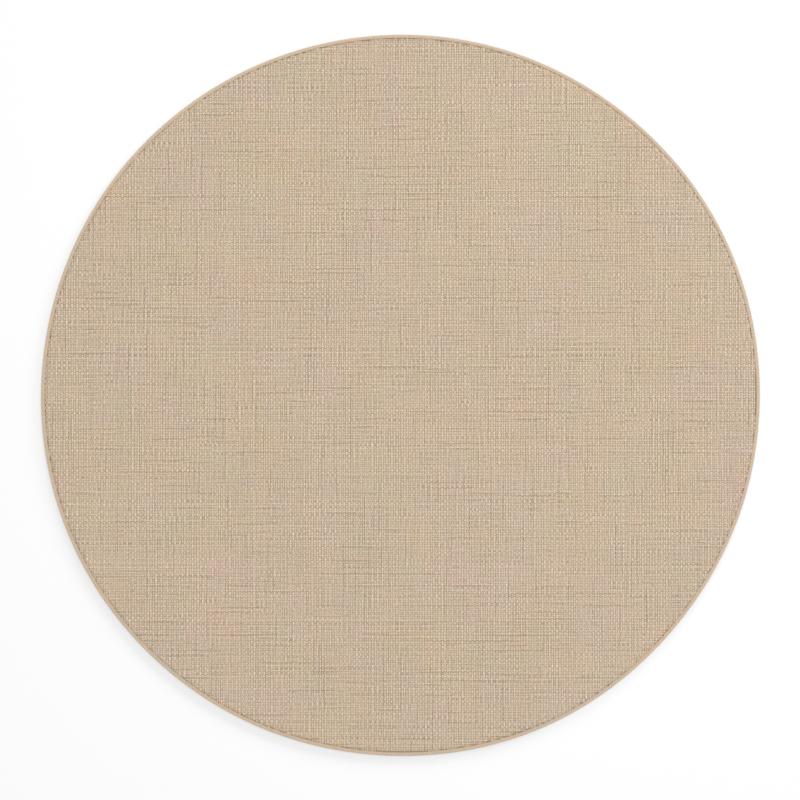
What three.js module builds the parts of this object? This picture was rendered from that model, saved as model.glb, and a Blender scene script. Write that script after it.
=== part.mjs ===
// A round flat-woven sisal rug, lying flat, in millimetres with +Z up.
// The origin is the middle of the underside, on the floor the rug lies on.
// It is made of two pieces: the woven field, cut round in one panel, and the yarn
// that is overcast round its cut edge and pulls it a little thinner there.

import * as THREE from "three";

const RUG_RADIUS = 800;
const FIELD_THICKNESS = 6;
const EDGE_WIDTH = 9.2;
const EDGE_YARN_THICKNESS = 1;
const EDGE_THICKNESS = 4.8;
const EDGE_NOSE_DEPTH = 3;
const EDGE_LIP_RISE = 0.25;
const PIECE_GAP = 0.3;

// Where the woven field leaves the floor for the edge's lower yarn, and where its
// face starts to sink towards the stitches, both measured inwards from the outline.
const FIELD_LIFT_INSET = 28;
const FIELD_SINK_INSET = 13;

// Halfway down that slope the field still has this share of its height, so it is rounded.
const FIELD_BROW_SHARE = 0.75;

// The rug was cut and laid by hand, so its outline is a little out of round: each row
// adds a wave that goes round the outline "count" times, "height" mm high, with one of
// its peaks at "peakDeg", counted anticlockwise from +X.
const OUTLINE_WAVES = [
  { count: 2, height: 1.62, peakDeg: 74 },
  { count: 3, height: 0.41, peakDeg: 56 },
  { count: 4, height: 0.62, peakDeg: 22 },
  { count: 5, height: 0.41, peakDeg: 7 },
  { count: 7, height: 0.37, peakDeg: -19 },
  { count: 8, height: 0.3, peakDeg: -20 },
];

const STEPS_ROUND = 144;
const NOSE_STEPS = 4;

const WEAVE_COLOUR = "#c8b49d";
const EDGE_YARN_COLOUR = "#c7b199";
const FIBRE_ROUGHNESS = 0.9;

// How far the outline stands outside (or, if negative, inside) a true circle at an angle.
function unevenness(angle) {
  return OUTLINE_WAVES.reduce((sum, wave) => {
    const fromPeak = angle - THREE.MathUtils.degToRad(wave.peakDeg);
    return sum + wave.height * Math.cos(wave.count * fromPeak);
  }, 0);
}

// The rounded outer end of a section, from its lowest point out and up to its highest.
// All layers of the edge share one centre, so "shrink" is how deep inside the finished
// edge the layer lies.
function nose(shrink) {
  const middle = EDGE_THICKNESS / 2;
  const depth = EDGE_NOSE_DEPTH - shrink;
  const halfHeight = middle - shrink;
  const points = [];
  for (let step = 0; step <= NOSE_STEPS; step += 1) {
    const turn = Math.PI * (step / NOSE_STEPS - 0.5);
    points.push({
      inset: EDGE_NOSE_DEPTH - depth * Math.cos(turn),
      height: middle + halfHeight * Math.sin(turn),
    });
  }
  return points;
}

// A closed body turned from a section, whose points give the inset from the outline and
// the height above the floor, then stretched to the uneven outline.
function turnedPiece(name, section, colour) {
  const profile = section.map(
    (point) => new THREE.Vector2(RUG_RADIUS - point.inset, point.height),
  );
  const geometry = new THREE.LatheGeometry(profile, STEPS_ROUND);
  geometry.rotateX(Math.PI / 2);
  const place = geometry.getAttribute("position");
  for (let i = 0; i < place.count; i += 1) {
    const angle = Math.atan2(place.getY(i), place.getX(i));
    const stretch = 1 + unevenness(angle) / RUG_RADIUS;
    place.setX(i, place.getX(i) * stretch);
    place.setY(i, place.getY(i) * stretch);
  }
  geometry.computeVertexNormals();
  const material = new THREE.MeshStandardMaterial({
    color: colour,
    roughness: FIBRE_ROUGHNESS,
    metalness: 0,
  });
  const mesh = new THREE.Mesh(geometry, material);
  mesh.name = name;
  return mesh;
}

// The woven field: flat on the floor, lifted onto the edge's lower yarn at the rim, and
// pressed thin between the stitches, so that its face slopes down towards them.
function wovenField() {
  const underEdge = EDGE_YARN_THICKNESS + PIECE_GAP;
  const sewnTop = EDGE_THICKNESS - underEdge;
  const stitchInset = EDGE_WIDTH + PIECE_GAP;
  const brow = {
    inset: (stitchInset + FIELD_SINK_INSET) / 2,
    height: THREE.MathUtils.lerp(sewnTop, FIELD_THICKNESS, FIELD_BROW_SHARE),
  };
  const section = [
    { inset: RUG_RADIUS, height: 0 },
    { inset: FIELD_LIFT_INSET, height: 0 },
    { inset: stitchInset, height: underEdge },
    ...nose(underEdge),
    { inset: stitchInset, height: sewnTop },
    brow,
    { inset: FIELD_SINK_INSET, height: FIELD_THICKNESS },
    { inset: RUG_RADIUS, height: FIELD_THICKNESS },
  ];
  return turnedPiece("woven_field", section, WEAVE_COLOUR);
}

// The overcast edge: a band of yarn wrapped over the field's cut edge, flat underneath
// where it lies on the floor, rounded outside, its two inner lips diving into the cloth.
function overcastEdge() {
  const lipInset = EDGE_WIDTH - PIECE_GAP;
  const hollowTop = EDGE_THICKNESS - EDGE_YARN_THICKNESS;
  const crown = {
    inset: (EDGE_NOSE_DEPTH + EDGE_WIDTH) / 2,
    height: EDGE_THICKNESS - EDGE_LIP_RISE / 2,
  };
  const lowerLip = { inset: EDGE_WIDTH, height: EDGE_LIP_RISE };
  const section = [
    lowerLip,
    { inset: lipInset, height: 0 },
    ...nose(0),
    crown,
    { inset: EDGE_WIDTH, height: hollowTop + EDGE_LIP_RISE },
    { inset: lipInset, height: hollowTop },
    ...nose(EDGE_YARN_THICKNESS).reverse(),
    { inset: lipInset, height: EDGE_YARN_THICKNESS },
    lowerLip,
  ];
  return turnedPiece("overcast_edge", section, EDGE_YARN_COLOUR);
}

// The pieces are put together and slid so that the outline's middle is over the origin.
const rug = new THREE.Group();
rug.name = "sisal_rug";
rug.add(wovenField(), overcastEdge());

const middle = new THREE.Box3().setFromObject(rug).getCenter(new THREE.Vector3());
rug.position.set(-middle.x, -middle.y, 0);

export default rug;
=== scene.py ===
# A round flat-woven sisal rug on a pale floor, seen from straight above, in metres.
# The sections follow the making of the rug: the warp is set up, the weft is woven
# through it, the cloth is cut round, and its edge is overcast with yarn.

import bpy
import numpy as np
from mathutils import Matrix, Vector


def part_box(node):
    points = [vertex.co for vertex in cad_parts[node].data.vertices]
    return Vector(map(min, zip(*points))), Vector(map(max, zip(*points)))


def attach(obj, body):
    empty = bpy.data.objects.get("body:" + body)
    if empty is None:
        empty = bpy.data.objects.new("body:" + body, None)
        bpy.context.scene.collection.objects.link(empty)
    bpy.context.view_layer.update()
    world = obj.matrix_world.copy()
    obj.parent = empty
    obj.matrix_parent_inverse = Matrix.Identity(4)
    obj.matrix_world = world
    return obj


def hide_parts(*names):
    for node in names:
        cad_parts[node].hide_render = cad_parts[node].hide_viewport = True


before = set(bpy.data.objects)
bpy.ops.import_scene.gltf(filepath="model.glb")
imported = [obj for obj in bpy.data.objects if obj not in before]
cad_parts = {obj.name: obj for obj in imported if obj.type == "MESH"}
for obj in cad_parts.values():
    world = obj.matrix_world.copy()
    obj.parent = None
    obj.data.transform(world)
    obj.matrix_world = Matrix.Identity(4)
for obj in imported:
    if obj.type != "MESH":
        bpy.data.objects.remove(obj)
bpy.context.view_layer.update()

# Warp yarns
# The lengthways yarns of the cloth: thick, softly spun sisal, set up on the loom on two
# shafts that lift every other yarn in turn. What shows of them is a row of short floats,
# each rising over one weft yarn and diving under the next.

# The cloth's outline is the one of the part's solids.
EDGE_NOSE_DEPTH = 0.0030
OUTLINE_WAVES = 12
OUTLINE_SAMPLES = 256
TOP_LINE_DEPTH = 1e-5


def outline_waves():
    """The Fourier terms of the rug's radius round the circle, from the top line of the CAD
    edge, which lies a fixed way inside the outline."""
    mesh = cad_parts["overcast_edge"].data
    place = np.empty(len(mesh.vertices) * 3, np.float32)
    mesh.vertices.foreach_get("co", place)
    x, y, z = place.reshape(-1, 3).T.astype(float)
    top = z > z.max() - TOP_LINE_DEPTH
    angle, radius = np.arctan2(y, x)[top], np.hypot(x, y)[top] + EDGE_NOSE_DEPTH
    order = np.argsort(angle)
    even = np.linspace(0, 2 * np.pi, OUTLINE_SAMPLES, endpoint=False)
    samples = np.interp(even, angle[order], radius[order], period=2 * np.pi)
    return (np.fft.rfft(samples) / len(even))[: OUTLINE_WAVES + 1]


rim_waves = outline_waves()
rim_radius = rim_waves[0].real


def outline(angle):
    """The rug's radius at an angle: the mean radius plus twice the real part of each wave."""
    wave = np.arange(1, len(rim_waves))
    turn = np.exp(1j * wave * np.asarray(angle)[..., None])
    return rim_radius + 2 * (turn * rim_waves[1:]).real.sum(-1)


# The face falls from the brow to the stitches, and the underside lifts onto the edge yarn.
CLOTH_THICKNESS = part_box("woven_field")[1].z
EDGE_YARN_THICKNESS = 0.001
PIECE_GAP = 0.0003
EDGE_WIDTH = 0.0092
CLOTH_LIFT_INSET = 0.028
CLOTH_SINK_INSET = 0.013
CLOTH_END_INSET = 0.0035
BROW_INSET = 0.0117
BROW_HEIGHT = 0.0054
SEWN_HEIGHT = 0.0022
TINY = 1e-9


def settled(place):
    """Places in a flat cloth, pressed to its form: z from 0 to the thickness is mapped to
    between the underside, which rises near the rim onto the edge yarn, and the face, which
    sinks there towards the stitches. Nothing reaches past the cloth's cut edge."""
    x, y, z = np.moveaxis(place, -1, 0)
    angle, radius = np.arctan2(y, x), np.hypot(x, y)
    rim = outline(angle)
    kept = np.minimum(radius, rim - CLOTH_END_INSET)
    inset = rim - kept
    under = EDGE_YARN_THICKNESS + PIECE_GAP
    stitch = EDGE_WIDTH + PIECE_GAP
    low = np.interp(inset, [stitch, CLOTH_LIFT_INSET], [under, 0])
    high = np.interp(
        inset,
        [stitch, BROW_INSET, CLOTH_SINK_INSET],
        [SEWN_HEIGHT, BROW_HEIGHT, CLOTH_THICKNESS],
    )
    z = low + z / CLOTH_THICKNESS * (high - low)
    share = kept / np.maximum(radius, TINY)
    return np.stack([x * share, y * share, z], -1)


rng = np.random.default_rng(2494)


def eased(place):
    """The whole part of each place, and its fraction eased by half a cosine wave."""
    whole = place.astype(int)
    return whole, 0.5 - 0.5 * np.cos(np.pi * (place - whole))


def smooth_lines(lines, steps, length):
    """One random curve for each line: normal numbers at knots some steps apart, joined by
    half cosine waves, with the knots of each line starting elsewhere."""
    knots = rng.standard_normal((lines, int(steps / length) + 3))
    knot, blend = eased(np.arange(steps) / length + rng.random((lines, 1)))
    line = np.arange(lines)[:, None]
    return knots[line, knot] * (1 - blend) + knots[line, knot + 1] * blend


# Wander and partings are shares of the pitch, and steps are counted in crossed yarns.
WARP_PITCH = 0.00546
WEFT_PITCH = 0.00560
WARP_PITCH_SPREAD = 0.11
WEFT_PITCH_SPREAD = 0.15
SPARE_YARNS = 4
LONG_WANDER = 0.10
LONG_WANDER_STEPS = 34
SHORT_WANDER = 0.035
SHORT_WANDER_STEPS = 8
PARTING = 0.12
PARTING_FROM = 0.9
PARTING_LIMIT = 0.7
PARTING_STEPS = 16


def yarn_lines(pitch, crossing_pitch, pitch_spread):
    """Where each of a set of parallel yarns lies at each yarn that it crosses: uneven
    spacings added up, plus a slow and a quick wander along the yarn. Here and there two
    neighbours part for a while, which is given too."""
    reach = 2 * rim_radius + SPARE_YARNS * max(pitch, crossing_pitch)
    count, steps = int(reach / pitch), int(reach / crossing_pitch)
    spacing = pitch * (1 + pitch_spread * rng.standard_normal(count))
    centre = np.cumsum(spacing)
    centre = (centre - centre.mean()) * (count * pitch / np.ptp(centre))
    wander = LONG_WANDER * smooth_lines(count, steps, LONG_WANDER_STEPS)
    wander += SHORT_WANDER * smooth_lines(count, steps, SHORT_WANDER_STEPS)
    parted = smooth_lines(count, steps, PARTING_STEPS) - PARTING_FROM
    parted = np.clip(parted, 0, PARTING_LIMIT)
    wander -= PARTING / 2 * parted
    wander[1:] += PARTING / 2 * parted[:-1]
    return centre[:, None] + pitch * wander, parted


crossing_x, parted_x = yarn_lines(WARP_PITCH, WEFT_PITCH, WARP_PITCH_SPREAD)
crossing_y, parted_y = yarn_lines(WEFT_PITCH, WARP_PITCH, WEFT_PITCH_SPREAD)
steps_x = min(crossing_x.shape[0], crossing_y.shape[1])
steps_y = min(crossing_x.shape[1], crossing_y.shape[0])


def joined(of_warp, of_weft):
    """What is known of each warp yarn at each weft yarn and of each weft yarn at each warp
    yarn, cut to the same size and put side by side."""
    return np.stack([of_warp[:steps_x, :steps_y], of_weft.T[:steps_x, :steps_y]], -1)


crossing = joined(crossing_x, crossing_y)
parted = joined(parted_x, parted_y)


OWN_TONE = 1.0
SLOW_TONE = 0.9
QUICK_TONE = 1.6
QUICK_TONE_STEPS = 3
FLOAT_TONE = 0.3
BAND_TONE = 0.35
BAND_YARNS = 6
BAND_STEPS = 68
LIGHTER_SHARE = 0.45


def yarn_tones(lines, steps, contrast):
    """How light each yarn is at each crossing: a part of its own, slow and quick changes
    along it, set against its two neighbours, a little for each float, and wide bands in
    which neighbours are alike. What makes it lighter counts less than what darkens it."""
    tone = OWN_TONE * rng.standard_normal((lines, 1))
    tone = tone + SLOW_TONE * smooth_lines(lines, steps, LONG_WANDER_STEPS)
    tone += QUICK_TONE * smooth_lines(lines, steps, QUICK_TONE_STEPS)
    tone -= (tone + np.roll(tone, 1, axis=0) + np.roll(tone, -1, axis=0)) / 3
    tone += FLOAT_TONE * rng.standard_normal((lines, steps))
    bands = smooth_lines(int(lines / BAND_YARNS) + 2, steps, BAND_STEPS)
    band, blend = eased(np.arange(lines)[:, None] / BAND_YARNS)
    step = np.arange(steps)
    tone += BAND_TONE * (bands[band, step] * (1 - blend) + bands[band + 1, step] * blend)
    return contrast * np.where(tone > 0, LIGHTER_SHARE * tone, tone)


WIDTH_SPREAD = 0.06
WIDTH_STEPS = 17


def yarn_widths(places, share):
    """How wide each yarn is at each crossing: a share of the room between its neighbours,
    with slow changes along it."""
    room = np.abs(np.gradient(places, axis=0))
    changes = smooth_lines(*places.shape, WIDTH_STEPS)
    return share * room * (1 + WIDTH_SPREAD * changes)


def add_piece(name, place, face, smooth=True):
    """A mesh from arrays of places and faces, all with as many corners, shaded smooth
    throughout or only on the faces that are marked."""
    mesh = bpy.data.meshes.new(name)
    mesh.vertices.add(len(place))
    mesh.vertices.foreach_set("co", place.astype(np.float32).ravel())
    mesh.loops.add(face.size)
    mesh.loops.foreach_set("vertex_index", face.astype(np.int32).ravel())
    mesh.polygons.add(len(face))
    starts = np.arange(0, face.size, face.shape[1], dtype=np.int32)
    mesh.polygons.foreach_set("loop_start", starts)
    mesh.update(calc_edges=True)
    mesh.polygons.foreach_set("use_smooth", np.full(len(face), smooth, dtype=bool))
    piece = bpy.data.objects.new(name, mesh)
    bpy.context.scene.collection.objects.link(piece)
    return piece


def add_map(piece, name, corner_uv):
    """A UV map given for each corner of each face."""
    layer = piece.data.uv_layers.new(name=name)
    layer.uv.foreach_set("vector", corner_uv.astype(np.float32).ravel())


def add_tone(piece, tone):
    """How light the yarn is at each point of a piece, with its painted light and shade."""
    layer = piece.data.attributes.new("tone", "FLOAT", "POINT")
    layer.data.foreach_set("value", tone.astype(np.float32).ravel())


# Each float has a ring of a left, a top and a right corner near either end, and two tips.
FLOAT_RINGS = (0, 3)
FLOAT_TIPS = (6, 7)
FLOAT_CORNERS = ((0, -0.5), (1, 0.0), (2, 0.5))
FLOAT_ALONG = np.array([0.3, 0.3, 0.3, 0.7, 0.7, 0.7, 0.0, 1.0])
FLOAT_ROUND = np.array([0.0, 0.5, 1.0, 0.0, 0.5, 1.0, 0.5, 0.5])
# Painted light and shade: the crest of each float is painted a little darker and its sides
# and tips lighter, standing in for the light that bounces between the fibres and shines
# through them.
FLOAT_PAINTED_LIGHT = np.array([0.3, -0.2, 0.3, 0.3, -0.2, 0.3, 0.6, 0.6])
FLOAT_FACES = np.array(
    [
        [2, 0, 3], [2, 3, 5], [6, 0, 2], [7, 5, 3],
        [0, 1, 4], [0, 4, 3], [1, 2, 5], [1, 5, 4],
        [6, 1, 0], [6, 2, 1], [7, 3, 4], [7, 4, 5],
    ]
)
FLAT_UNDERSIDE_FACES = 4
# How much painted shade a gap to the left, to the right, before and after puts on each
# corner; where negative, a painted highlight on the corners beyond it.
PARTING_PAINT_REACH = np.array(
    [
        [1.0, -0.2, -0.2, 1.0, -0.2, -0.2, 0.0, 0.0],
        [-0.2, -0.2, 1.0, -0.2, -0.2, 1.0, 0.0, 0.0],
        [0.5, 0.5, 0.5, -0.3, -0.3, -0.3, 1.0, 0.0],
        [-0.3, -0.3, -0.3, 0.5, 0.5, 0.5, 0.0, 1.0],
    ]
)
CELL_MARGIN = 0.04
CELL_SIDES = 0.75
CELL_UNDERSIDE = 0.85


def float_map(count):
    """A cell of the square for each float: its two sides as strips, one above the other,
    and its underside as a narrow strip above them."""
    columns = int(np.sqrt(count / 2))
    rows = int(np.ceil(count / columns))
    cell = np.arange(count)[:, None, None]
    across = CELL_SIDES * FLOAT_ROUND[FLOAT_FACES]
    under = FLOAT_ROUND[FLOAT_FACES[:FLAT_UNDERSIDE_FACES]]
    across[:FLAT_UNDERSIDE_FACES] = CELL_UNDERSIDE + (1 - CELL_UNDERSIDE) * under
    inner = 1 - 2 * CELL_MARGIN
    u = (cell % columns + CELL_MARGIN + inner * FLOAT_ALONG[FLOAT_FACES]) / columns
    v = (cell // columns + CELL_MARGIN + inner * across) / rows
    return np.stack([u.ravel(), v.ravel()], 1)


CREST_SPREAD = 0.0003
FLOAT_END = 0.92
FLOAT_END_HEIGHT = 0.0047
FLOAT_LENGTH = 2 * WARP_PITCH
# The strength of the painted shade along partings.
PARTING_PAINTED_SHADE = 8.5


def add_floats(name, centre, before, after, width, form, tone, gaps, along, yarn):
    """The floats of many yarns as one mesh. Each is a closed grain with a triangular
    section: two rings of three corners, at a share of the way to the crossings before and
    after, and a tip beyond each ring that dives into the cloth."""
    crest_half, crest, side_height = form
    count, points = len(centre), len(FLOAT_ALONG)
    to_before, to_after = before - centre, after - centre
    way = after - before
    way /= np.linalg.norm(way, axis=1, keepdims=True)
    side = np.stack([way[:, 1], -way[:, 0]], 1)
    place = np.empty((count, points, 3))
    for ring, tip, step in zip(FLOAT_RINGS, FLOAT_TIPS, (to_before, to_after)):
        middle = centre + crest_half * step
        for corner, sideways in FLOAT_CORNERS:
            place[:, ring + corner, :2] = middle + sideways * width[:, None] * side
            place[:, ring + corner, 2] = side_height
        place[:, ring + 1, 2] = crest - CREST_SPREAD * rng.random(count)
        place[:, tip, :2] = centre + FLOAT_END * step
        place[:, tip, 2] = FLOAT_END_HEIGHT
    face = (np.arange(count)[:, None, None] * points + FLOAT_FACES).reshape(-1, 3)
    smooth = np.arange(len(face)) % len(FLOAT_FACES) >= FLAT_UNDERSIDE_FACES
    piece = add_piece(name, settled(place).reshape(-1, 3), face, smooth)
    lengthways = (along[:, None] + FLOAT_ALONG * FLOAT_LENGTH).ravel()
    crossways = (yarn[:, None] + FLOAT_ROUND).ravel()
    add_map(piece, "yarn", np.stack([lengthways, crossways], 1)[face.ravel()])
    add_map(piece, "OFBake", float_map(count))
    # Each corner's tone: the yarn's own, the float's painted light and shade, and painted
    # shade next to each parting.
    add_tone(piece, tone[:, None] + FLOAT_PAINTED_LIGHT - PARTING_PAINTED_SHADE * gaps @ PARTING_PAINT_REACH)
    return piece


FLOAT_CLEARANCE = 4 * PIECE_GAP
# Floats near the stitches are painted darker, as shade, fading out by STITCHED_INSET.
STITCHED_PAINTED_SHADE = 2.0
STITCHED_INSET = 0.0165
YARN_STEP = 2.0


def add_yarns(name, way, shaft, tones, widths, form):
    """The floats of every other yarn that runs one way, those of the given shaft: one at
    each crossing inside the cut edge where the sum of the two yarns' numbers is even for
    the warp and odd for the weft."""
    first, second = np.meshgrid(np.arange(steps_x), np.arange(steps_y), indexing="ij")
    own, other = (first, second) if way == "warp" else (second, first)
    over = (first + second) % 2 == (0 if way == "warp" else 1)
    radius = np.linalg.norm(crossing, axis=-1)
    angle = np.arctan2(crossing[..., 1], crossing[..., 0])
    inside = radius < outline(angle) - CLOTH_END_INSET - FLOAT_CLEARANCE
    inner = (first > 0) & (first < steps_x - 1) & (second > 0) & (second < steps_y - 1)
    i, j = np.nonzero(over & inside & inner & (own % 2 == shaft))
    step = (0, 1) if way == "warp" else (1, 0)
    line, place = own[i, j], other[i, j]
    pitch = WEFT_PITCH if way == "warp" else WARP_PITCH
    beside_x = [parted[i - 1, j, 0], parted[i, j, 0]]
    beside_y = [parted[i, j - 1, 1], parted[i, j, 1]]
    gaps = beside_x + beside_y if way == "warp" else beside_y[::-1] + beside_x
    inset = outline(angle[i, j]) - radius[i, j]
    # Painted shade on the floats near the stitches.
    painted_stitch_shade = STITCHED_PAINTED_SHADE * np.interp(inset, [EDGE_WIDTH, STITCHED_INSET], [1, 0])
    return add_floats(
        name,
        crossing[i, j],
        crossing[i - step[0], j - step[1]],
        crossing[i + step[0], j + step[1]],
        widths[line, place],
        form,
        tones[line, place] - painted_stitch_shade,
        np.stack(gaps, 1),
        place * pitch,
        line * YARN_STEP,
    )


def node(tree, kind, inputs=None, **settings):
    """Adds a shader node with its settings, and its inputs from values or other sockets."""
    made = tree.nodes.new(kind)
    for key, value in settings.items():
        setattr(made, key, value)
    for key, value in (inputs or {}).items():
        if isinstance(value, bpy.types.NodeSocket):
            tree.links.new(value, made.inputs[key])
        else:
            made.inputs[key].default_value = value
    return made


def worked(tree, operation, *values):
    """The result of one operation on numbers, from values or other sockets."""
    made = node(tree, "ShaderNodeMath", dict(enumerate(values)), operation=operation)
    return made.outputs[0]


def worked_each(tree, operation, *values):
    """The result of one operation on each part of a place or a colour."""
    made = node(tree, "ShaderNodeVectorMath", dict(enumerate(values)), operation=operation)
    return made.outputs[0]


def spread(tree, value, low, high, to_low=0.0, to_high=1.0):
    """A value that runs between two limits, stretched to run between two others."""
    limits = {"From Min": low, "From Max": high, "To Min": to_low, "To Max": to_high}
    return node(tree, "ShaderNodeMapRange", {"Value": value, **limits}).outputs[0]


def blended(tree, share, first, second):
    """A colour that goes from the first to the second as the share goes from 0 to 1."""
    inputs = {"Factor": share, "A": first, "B": second}
    return node(tree, "ShaderNodeMix", inputs, data_type="RGBA").outputs["Result"]


def linear(red, green, blue):
    """A colour given as it looks on screen, from 0 to 255, as linear light."""
    share = np.array([red, green, blue]) / 255
    light = np.where(share < 0.04045, share / 12.92, ((share + 0.055) / 1.055) ** 2.4)
    return (*light.tolist(), 1.0)


SISAL_DARK = linear(174, 153, 127)
SISAL_LIGHT = linear(245, 224, 201)
SISAL_ROUGHNESS = 0.75
SISAL_GLOSS = 0.25
TONE_REACH = 10.0
TWIST_LENGTH = 0.0045
FIBRE_STRETCH = (420.0, 7.0, 1.0)
FIBRE_DETAIL = 2.0
FIBRE_FROM = 0.3
FIBRE_TO = 0.7
FIBRE_TONE = 0.5
FIBRE_BUMP = {"Strength": 0.35, "Distance": 0.0006}
TINT_SCALE = 6.5
TINT_DETAIL = 3.0
TINT_ROUGHNESS = 0.9
TINT_REACH = (0.20, 0.14, 0.27)
TINT_BASE = tuple(1 - reach / 2 for reach in TINT_REACH)


def fibre_group():
    """Sisal yarn: a tone from dark to light straw, streaked by long thin fibres that run
    with the twist, and tinted in wide patches. The fibres are a noise in the yarn's map,
    sheared by the twist and stretched along the yarn, and they give the height too."""
    tree = bpy.data.node_groups.new("sisal_fibres", "ShaderNodeTree")
    face = tree.interface
    face.new_socket("Yarn map", in_out="INPUT", socket_type="NodeSocketVector")
    face.new_socket("Tone", in_out="INPUT", socket_type="NodeSocketFloat")
    face.new_socket("Color", in_out="OUTPUT", socket_type="NodeSocketColor")
    face.new_socket("Height", in_out="OUTPUT", socket_type="NodeSocketFloat")
    given = node(tree, "NodeGroupInput").outputs
    split = node(tree, "ShaderNodeSeparateXYZ", {"Vector": given["Yarn map"]}).outputs
    turn = worked(tree, "MULTIPLY", split["X"], 1 / TWIST_LENGTH)
    lay = worked(tree, "ADD", split["Y"], turn)
    twisted = node(tree, "ShaderNodeCombineXYZ", {"X": split["X"], "Y": lay}).outputs[0]
    stretched = worked_each(tree, "MULTIPLY", twisted, FIBRE_STRETCH)
    noise = {"Vector": stretched, "Scale": 1.0, "Detail": FIBRE_DETAIL}
    fibre = node(tree, "ShaderNodeTexNoise", noise).outputs["Fac"]
    streak = spread(tree, fibre, FIBRE_FROM, FIBRE_TO, -1.0, 1.0)
    tone = worked(tree, "MULTIPLY_ADD", streak, FIBRE_TONE, given["Tone"])
    share = spread(tree, tone, -TONE_REACH, TONE_REACH)
    straw = blended(tree, share, SISAL_DARK, SISAL_LIGHT)
    rug_place = node(tree, "ShaderNodeTexCoord").outputs["Object"]
    noise = {"Vector": rug_place, "Scale": TINT_SCALE}
    noise.update({"Detail": TINT_DETAIL, "Roughness": TINT_ROUGHNESS})
    patches = node(tree, "ShaderNodeTexNoise", noise).outputs["Color"]
    tint = worked_each(tree, "MULTIPLY_ADD", patches, TINT_REACH, TINT_BASE)
    tinted = worked_each(tree, "MULTIPLY", straw, tint)
    node(tree, "NodeGroupOutput", {"Color": tinted, "Height": fibre})
    return tree


def new_material(name):
    """A material whose nodes are still to be laid."""
    material = bpy.data.materials.new(name)
    material.use_nodes = True
    material.node_tree.nodes.clear()
    return material


def finish_matt(tree, colour, height, bump, roughness, gloss):
    """The surface of matt fibre with a faint sheen: its colour, raised by its height."""
    raised = node(tree, "ShaderNodeBump", {"Height": height, **bump})
    inputs = {"Base Color": colour, "Normal": raised.outputs["Normal"]}
    inputs.update({"Roughness": roughness, "Specular IOR Level": gloss})
    shader = node(tree, "ShaderNodeBsdfPrincipled", inputs)
    node(tree, "ShaderNodeOutputMaterial", {"Surface": shader.outputs[0]})


sisal_fibres = fibre_group()


def yarn_material(name, tone_shift):
    """Sisal yarn, matt with a faint sheen, reading the piece's yarn map and tone."""
    material = new_material(name)
    tree = material.node_tree
    place = node(tree, "ShaderNodeUVMap", uv_map="yarn").outputs["UV"]
    tone = node(tree, "ShaderNodeAttribute", attribute_name="tone").outputs["Fac"]
    shifted = worked(tree, "ADD", tone, tone_shift)
    fibres = node(tree, "ShaderNodeGroup", node_tree=sisal_fibres)
    tree.links.new(place, fibres.inputs["Yarn map"])
    tree.links.new(shifted, fibres.inputs["Tone"])
    colour, height = fibres.outputs["Color"], fibres.outputs["Height"]
    finish_matt(tree, colour, height, FIBRE_BUMP, SISAL_ROUGHNESS, SISAL_GLOSS)
    return material


def lay_in_cloth(piece, material):
    """Gives a piece of the woven field its material and its part in the frame."""
    piece.data.materials.append(material)
    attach(piece, "root")
    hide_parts("woven_field")


WARP_SHARE = 1.0
WARP_CONTRAST = 0.95
WARP_TONE = 0.0
# How far the crest reaches to either side of the middle, and the crest's and sides' heights.
WARP_FORM = (0.40, CLOTH_THICKNESS, 0.0054)

# A tight pick would sink and darken, and the warp floats over it stand out lighter. The tones
# alone paint this: painted shade on the pick and painted light on the warp floats over it.
PICK_PAINTED_SHADING = 1.3
PICK_PAINTED_SHADING_STEPS = 6
pick_painted_shading = PICK_PAINTED_SHADING * smooth_lines(steps_y, steps_x, PICK_PAINTED_SHADING_STEPS)
warp_tones = yarn_tones(steps_x, steps_y, WARP_CONTRAST) + pick_painted_shading.T
warp_widths = yarn_widths(crossing[..., 0], WARP_SHARE)
warp_sisal = yarn_material("warp_sisal", WARP_TONE)
warp_yarns = []
for shaft in (0, 1):
    name = f"warp_yarns_shaft_{shaft + 1}"
    warp_yarns.append(add_yarns(name, "warp", shaft, warp_tones, warp_widths, WARP_FORM))
    lay_in_cloth(warp_yarns[-1], warp_sisal)

# Weft yarns
# The crossways yarns, of the same sisal, laid through the lifted warp one pick after the
# other and beaten close. They sink a little deeper into the cloth than the warp.

WEFT_SHARE = 0.91
WEFT_CONTRAST = 1.35
WEFT_TONE = -0.8
WEFT_SINK = 0.0003
WEFT_FORM = (0.40, CLOTH_THICKNESS - WEFT_SINK, 0.0052)

# Tight picks are painted darker, as shade.
weft_tones = yarn_tones(steps_y, steps_x, WEFT_CONTRAST) - pick_painted_shading
weft_widths = yarn_widths(crossing[..., 1].T, WEFT_SHARE)
weft_sisal = yarn_material("weft_sisal", WEFT_TONE)
weft_yarns = []
for pick in (0, 1):
    name = f"weft_yarns_pick_{pick + 1}"
    weft_yarns.append(add_yarns(name, "weft", pick, weft_tones, weft_widths, WEFT_FORM))
    lay_in_cloth(weft_yarns[-1], weft_sisal)

# Ground of the cloth
# The body of the panel under the floats, where warp and weft press on each other. It
# closes the small gaps between the yarns, and its underside is the back of the weave.

GROUND_HEIGHT = 0.0052
GROUND_STEPS = 360
GROUND_INNER_RINGS = (0.25, 0.5, 0.75)
GROUND_PRESSED_INSET = 0.019
GROUND_PRESSED_HEIGHT = 0.0042
GROUND_INSETS = (
    CLOTH_LIFT_INSET,
    GROUND_PRESSED_INSET,
    CLOTH_SINK_INSET,
    BROW_INSET,
    EDGE_WIDTH + PIECE_GAP,
    0.0,
)
GROUND_RINGS = len(GROUND_INNER_RINGS) + len(GROUND_INSETS)
MAP_MIDDLE = 0.5
MAP_UNDER = 0.46
MAP_RIM = 0.466
MAP_FACE = 0.08
MAP_FACE_MIDDLE = 0.916


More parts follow.
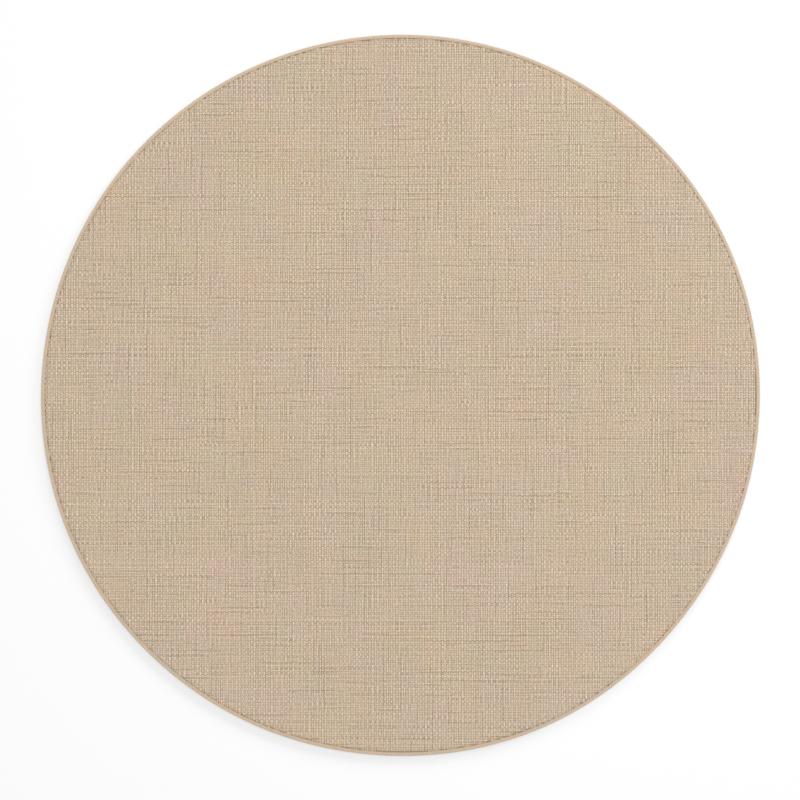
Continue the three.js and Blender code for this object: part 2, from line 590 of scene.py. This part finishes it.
def disc_layers():
    """A closed round slab: rings of points at growing shares of the outline's radius, once
    for the top, which the stitches press lower near the rim, and once for the underside."""
    angle = np.linspace(0, 2 * np.pi, GROUND_STEPS, endpoint=False)
    rim = outline(angle)
    radius = [share * (rim - CLOTH_LIFT_INSET) for share in GROUND_INNER_RINGS]
    radius = np.array(radius + [rim - inset for inset in GROUND_INSETS])
    inset = (rim - radius).mean(1)
    pressed = np.interp(
        inset, [EDGE_WIDTH, GROUND_PRESSED_INSET], [GROUND_PRESSED_HEIGHT, GROUND_HEIGHT]
    )
    layers = []
    for height in (pressed, np.zeros(len(inset))):
        z = np.broadcast_to(height[:, None], radius.shape)
        ring = np.stack([radius * np.cos(angle), radius * np.sin(angle), z], -1)
        layers.append(ring.reshape(-1, 3))
        layers.append(np.array([[0, 0, height[0]]]))
    return np.concatenate(layers)


def disc_faces():
    """The slab's triangles, all turned outwards: pairs between the rings and round the rim,
    and a fan at each middle."""
    here = np.arange(GROUND_STEPS)
    after = np.roll(here, -1)
    layer = GROUND_RINGS * GROUND_STEPS + 1
    quads, fans = [], []
    for side in (0, 1):
        base = side * layer
        centre = base + layer - 1
        fan = np.stack([np.full_like(here, centre), base + here, base + after], 1)
        fans.append(fan if side == 0 else fan[:, ::-1])
        for ring in range(GROUND_RINGS - 1):
            inner, outer = base + ring * GROUND_STEPS, base + (ring + 1) * GROUND_STEPS
            quad = np.stack([inner + here, outer + here, outer + after, inner + after], 1)
            quads.append(quad if side == 0 else quad[:, ::-1])
    top = (GROUND_RINGS - 1) * GROUND_STEPS
    under = layer + top
    quads.append(np.stack([under + here, under + after, top + after, top + here], 1))
    quads = np.concatenate(quads)
    halves = np.concatenate([quads[:, [0, 1, 2]], quads[:, [0, 2, 3]]])
    return np.concatenate([halves] + fans)


def disc_map(place, face):
    """The slab's map: the underside as a large disc, the face as a small one in a corner of
    the square, and the rim as a thin ring just round the large disc."""
    half = len(place) // 2
    flat = place[:, :2] / np.hypot(place[:, 0], place[:, 1]).max()
    under = MAP_MIDDLE + MAP_UNDER * flat
    rim = MAP_MIDDLE + MAP_RIM * flat
    upper = MAP_FACE_MIDDLE + MAP_FACE * flat
    above = face < half
    on_rim = (above.any(1) & ~above.all(1))[:, None]
    of_face = np.where(on_rim[..., None], rim[face], upper[face])
    return np.where(above[..., None], of_face, under[face]).reshape(-1, 2)


BACK_UNEVEN_SCALE = 40.0
BACK_UNEVENNESS = (0.004, 0.004, 0.0)
BACK_FIBRE_SCALE = 900.0
BACK_FIBRE_DETAIL = 3.0
BACK_FIBRE_TONE = 0.6
BACK_WARP_TONE = 0.12
BACK_PAINTED_ROUNDNESS = 0.5
BACK_DARKEST = 0.2
BACK_LIGHTEST = 1.4
BACK_DARK = linear(160, 139, 114)
BACK_LIGHT = linear(220, 200, 176)
BACK_BELOW = 0.0022
PRESSED_DARK = linear(198, 180, 157)
PRESSED_LIGHT = linear(216, 199, 177)
GROUND_BUMP = {"Strength": 0.5, "Distance": 0.001}
GROUND_ROUGHNESS = 0.8
GROUND_GLOSS = 0.2


def ground_material():
    """Pressed sisal between the floats. On the underside, told by its height, it is the back
    of a
    plain weave: the product of two sine waves is positive where the warp shows and negative
    where the weft does, and its size rounds each float in painted light and shade, lighter in
    the middle and darker where the floats meet."""
    material = new_material("cloth_ground")
    tree = material.node_tree
    place = node(tree, "ShaderNodeTexCoord").outputs["Object"]
    noise = {"Vector": place, "Scale": BACK_UNEVEN_SCALE}
    uneven = node(tree, "ShaderNodeTexNoise", noise).outputs["Color"]
    moved = worked_each(tree, "MULTIPLY_ADD", uneven, BACK_UNEVENNESS, place)
    split = node(tree, "ShaderNodeSeparateXYZ", {"Vector": moved}).outputs
    waves = []
    for axis, pitch in (("X", WARP_PITCH), ("Y", WEFT_PITCH)):
        turn = worked(tree, "MULTIPLY", split[axis], np.pi / pitch)
        waves.append(worked(tree, "SINE", turn))
    weave = worked(tree, "MULTIPLY", *waves)
    # Painted shade: each float on the back is lighter in its middle and darker towards its
    # edges.
    painted_rounding = worked(tree, "POWER", worked(tree, "ABSOLUTE", weave), BACK_PAINTED_ROUNDNESS)
    crest = worked(tree, "MULTIPLY_ADD", weave, BACK_WARP_TONE, painted_rounding)
    noise = {"Vector": place, "Scale": BACK_FIBRE_SCALE, "Detail": BACK_FIBRE_DETAIL}
    fibres = node(tree, "ShaderNodeTexNoise", noise).outputs["Fac"]
    lit = worked(tree, "MULTIPLY_ADD", fibres, BACK_FIBRE_TONE, crest)
    share = spread(tree, lit, BACK_DARKEST, BACK_LIGHTEST)
    back = blended(tree, share, BACK_DARK, BACK_LIGHT)
    pressed = blended(tree, fibres, PRESSED_DARK, PRESSED_LIGHT)
    height = node(tree, "ShaderNodeSeparateXYZ", {"Vector": place}).outputs["Z"]
    above = worked(tree, "GREATER_THAN", height, BACK_BELOW)
    colour = blended(tree, above, back, pressed)
    finish_matt(tree, colour, lit, GROUND_BUMP, GROUND_ROUGHNESS, GROUND_GLOSS)
    return material


ground_place = settled(disc_layers())
ground_face = disc_faces()
ground = add_piece("woven_ground", ground_place, ground_face)
add_map(ground, "OFBake", disc_map(ground_place, ground_face))
lay_in_cloth(ground, ground_material())

# Overcast edge
# A soft yarn in the cloth's colour, wrapped round the cut edge turn by turn. Each turn
# comes out of the cloth, goes round the edge and dives in again one stitch further on.

TURN_PITCH = 0.0030
TURN_WIDTH = 0.0035
TURN_UNEVENNESS = 0.14
# The inset from the outline, the height of the yarn's middle, and the tone, with painted
# shade where the yarn goes into the cloth and a painted highlight on the outer nose and, a
# little, over the top.
TURN_PATH = np.array(
    [
        [0.0092, 0.0012, -5.0],
        [0.0072, 0.0005, -1.0],
        [0.0030, 0.0005, 0.0],
        [0.0011, 0.0012, 1.0],
        [0.0005, 0.0021, 1.0],
        [0.0011, 0.0031, 1.0],
        [0.0030, 0.0040, 0.3],
        [0.0051, 0.0043, 0.4],
        [0.0070, 0.0039, 0.2],
        [0.0086, 0.0021, -2.0],
    ]
)
TURN_RINGS = len(TURN_PATH)
# Where the four corners of the section lie, sideways and outwards.
TURN_CORNERS = ((0, 1), (-1, 0), (0, -1), (1, 0))
TURN_SIDES = len(TURN_CORNERS)
TURN_LENGTH = 0.02
TURN_TONE_SPREAD = 0.35
TURN_CELL_MARGIN = 0.05
TURN_CELL_SIDES = 0.8
TURN_CELL_ENDS = 0.85
TURN_CELL_END_WIDTH = 0.4
TURN_CELL_END_STEP = 0.5
EDGE_TONE = -1.5


def turn_map(turns):
    """A cell of the square for each turn: its four sides as strips, one above the other,
    and its two ends in a row above them."""
    columns = int(np.sqrt(turns))
    rows = int(np.ceil(turns / columns))
    ring, side = np.meshgrid(np.arange(TURN_RINGS - 1), np.arange(TURN_SIDES), indexing="ij")
    strip = TURN_CELL_SIDES / TURN_SIDES
    left, right = ring / (TURN_RINGS - 1), (ring + 1) / (TURN_RINGS - 1)
    low, high = strip * side, strip * (side + 1)
    sides = np.array([[left, low], [left, high], [right, high], [right, low]])
    sides = sides.transpose(2, 3, 0, 1).reshape(-1, 4, 2)
    ends = np.array([[[0.0, 0.0], [1.0, 0.0], [1.0, 1.0], [0.0, 1.0]]] * 2)
    ends *= [TURN_CELL_END_WIDTH, 1 - TURN_CELL_ENDS]
    ends += [0.0, TURN_CELL_ENDS]
    ends[1] += [TURN_CELL_END_STEP, 0.0]
    cell = TURN_CELL_MARGIN + (1 - 2 * TURN_CELL_MARGIN) * np.concatenate([sides, ends])
    turn = np.arange(turns)
    corner = np.stack([turn % columns, turn // columns], 1)
    return ((corner[:, None, None] + cell) / [columns, rows]).reshape(-1, 2)


def turn_faces(turns):
    """The faces of every turn: the sides between each ring and the next, and the two ends."""
    ring = np.arange(TURN_RINGS - 1)[:, None] * TURN_SIDES
    side = np.arange(TURN_SIDES)[None, :]
    after = (side + 1) % TURN_SIDES
    next_ring = ring + TURN_SIDES
    face = np.stack([ring + side, ring + after, next_ring + after, next_ring + side], -1)
    last = (TURN_RINGS - 1) * TURN_SIDES
    ends = np.stack([side[0, ::-1], last + side[0]])
    face = np.concatenate([face.reshape(-1, TURN_SIDES), ends])
    first = np.arange(turns)[:, None, None] * TURN_RINGS * TURN_SIDES
    return (first + face).reshape(-1, TURN_SIDES)


def add_turns():
    """Every turn of the edge yarn as one mesh: a flattened section with four corners,
    carried along a path round the edge that moves sideways by a stitch on the way."""
    turns = int(round(2 * np.pi * rim_radius / TURN_PITCH))
    half = EDGE_YARN_THICKNESS / 2
    inset, height, path_painted_light = TURN_PATH.T
    step = np.stack([np.gradient(inset), np.gradient(height)])
    step /= np.linalg.norm(step, axis=0)
    out = np.stack([step[1], -step[0]])
    along = np.linspace(0, 1, TURN_RINGS)
    turn = np.arange(turns)[:, None]
    uneven = TURN_UNEVENNESS * (rng.random((turns, 1)) - 0.5)
    angle = 2 * np.pi * (turn + along + uneven) / turns
    rim = outline(angle)
    place = np.empty((turns, TURN_RINGS, TURN_SIDES, 3))
    for side, (sideways, outwards) in enumerate(TURN_CORNERS):
        slide = sideways * TURN_WIDTH / 2 / rim
        radius = rim - (inset + outwards * half * out[0])
        place[:, :, side, 0] = radius * np.cos(angle + slide)
        place[:, :, side, 1] = radius * np.sin(angle + slide)
        place[:, :, side, 2] = np.maximum(height + outwards * half * out[1], 0.0)
    face = turn_faces(turns)
    piece = add_piece("overcast_yarn", place.reshape(-1, 3), face)
    lengthways = np.broadcast_to(along[None, :, None] * TURN_LENGTH, place.shape[:3])
    crossways = turn[..., None] * YARN_STEP + np.arange(TURN_SIDES) / TURN_SIDES
    crossways = np.broadcast_to(crossways, place.shape[:3])
    yarn_uv = np.stack([lengthways.ravel(), crossways.ravel()], 1)
    add_map(piece, "yarn", yarn_uv[face.ravel()])
    add_map(piece, "OFBake", turn_map(turns))
    own = TURN_TONE_SPREAD * rng.standard_normal((turns, 1))
    # The path's painted shade and highlight along each turn.
    add_tone(piece, own + np.repeat(path_painted_light, TURN_SIDES))
    return piece


overcast = add_turns()
overcast.data.materials.append(yarn_material("edge_sisal", EDGE_TONE))
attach(overcast, "root")
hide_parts("overcast_edge")

# Floor and light
# A plain white studio floor in a bright room. One broad soft light from the upper right
# shines on the rug alone, and three lights on the floor alone, because no single light
# gives both the rug's even tone and the soft shadow at its lower left.

FLOOR_SIZE = 40.0
FLOOR_COLOUR = (0.76, 0.76, 0.76, 1.0)
ROOM_LIGHT = 0.95
KEY_LIGHT = 57.0
KEY_PLACE = (2.1, 2.3, 3.2)
KEY_SIZE = 3.0
FLOOR_LIGHT = 50.0
FLOOR_LIGHT_PLACE = (1.2, 1.2, 4.0)
FLOOR_LIGHT_SIZE = 1.5
LOW_LIGHT = 1.8
LOW_FROM = ((1.0, 0.75, 0.165), (0.15, 1.0, 0.14))
LOW_ANGLE = 8.0

floor_mesh = bpy.data.meshes.new("floor")
half = FLOOR_SIZE / 2
floor_corners = [(-half, -half, 0), (half, -half, 0), (half, half, 0), (-half, half, 0)]
floor_mesh.from_pydata(floor_corners, [], [(0, 1, 2, 3)])
floor = bpy.data.objects.new("floor", floor_mesh)
bpy.context.scene.collection.objects.link(floor)
floor_material = bpy.data.materials.new("studio_floor")
floor_material.use_nodes = True
floor_shader = floor_material.node_tree.nodes["Principled BSDF"]
floor_shader.inputs["Base Color"].default_value = FLOOR_COLOUR
floor_shader.inputs["Roughness"].default_value = 1.0
floor_shader.inputs["Specular IOR Level"].default_value = 0.0
floor.data.materials.append(floor_material)

world = bpy.data.worlds.new("studio")
bpy.context.scene.world = world
world.use_nodes = True
room = world.node_tree.nodes["Background"]
room.inputs["Color"].default_value = (1.0, 1.0, 1.0, 1.0)
room.inputs["Strength"].default_value = ROOM_LIGHT


def add_light(name, kind, energy, come_from, lit):
    """A light at a place, or from its direction, that shines at the middle of the rug and
    on one collection alone."""
    light = bpy.data.lights.new(name, kind)
    light.energy = energy
    lamp = bpy.data.objects.new(name, light)
    bpy.context.scene.collection.objects.link(lamp)
    lamp.location = come_from
    lamp.rotation_euler = (-Vector(come_from)).to_track_quat("-Z", "Y").to_euler()
    lamp.visible_camera = False
    lamp.light_linking.receiver_collection = lit
    return light


rug_only = bpy.data.collections.new("rug_only")
for piece in (*warp_yarns, *weft_yarns, ground, overcast):
    rug_only.objects.link(piece)
floor_only = bpy.data.collections.new("floor_only")
floor_only.objects.link(floor)
key = add_light("key_light", "AREA", KEY_LIGHT, KEY_PLACE, rug_only)
key.size = KEY_SIZE
above = add_light("floor_light", "AREA", FLOOR_LIGHT, FLOOR_LIGHT_PLACE, floor_only)
above.size = FLOOR_LIGHT_SIZE
for count, come_from in enumerate(LOW_FROM):
    low = add_light(f"low_light_{count + 1}", "SUN", LOW_LIGHT, come_from, floor_only)
    low.angle = np.radians(LOW_ANGLE)

# Camera
# Straight above the rug, with a long lens. The rug's mean circle is as large, and lies as
# far from the middle of the frame, as it does in the photograph.

FRAME_PIXELS = 800
FRAME_MIDDLE = (FRAME_PIXELS - 1) / 2
RUG_RADIUS_PIXELS = 360.2
RUG_CENTRE_PIXELS = (400.16, 394.96)
LENS = 85.0
SENSOR = 36.0

pixel = rim_radius / RUG_RADIUS_PIXELS
camera_data = bpy.data.cameras.new("camera")
camera_data.lens = LENS
camera_data.sensor_width = SENSOR
camera = bpy.data.objects.new("camera", camera_data)
bpy.context.scene.collection.objects.link(camera)
camera.location = (
    2 * rim_waves[1].real + (FRAME_MIDDLE - RUG_CENTRE_PIXELS[0]) * pixel,
    -2 * rim_waves[1].imag + (RUG_CENTRE_PIXELS[1] - FRAME_MIDDLE) * pixel,
    FRAME_PIXELS * pixel * LENS / SENSOR + CLOTH_THICKNESS / 2,
)
bpy.context.scene.camera = camera
bpy.context.scene.view_settings.view_transform = "Standard"
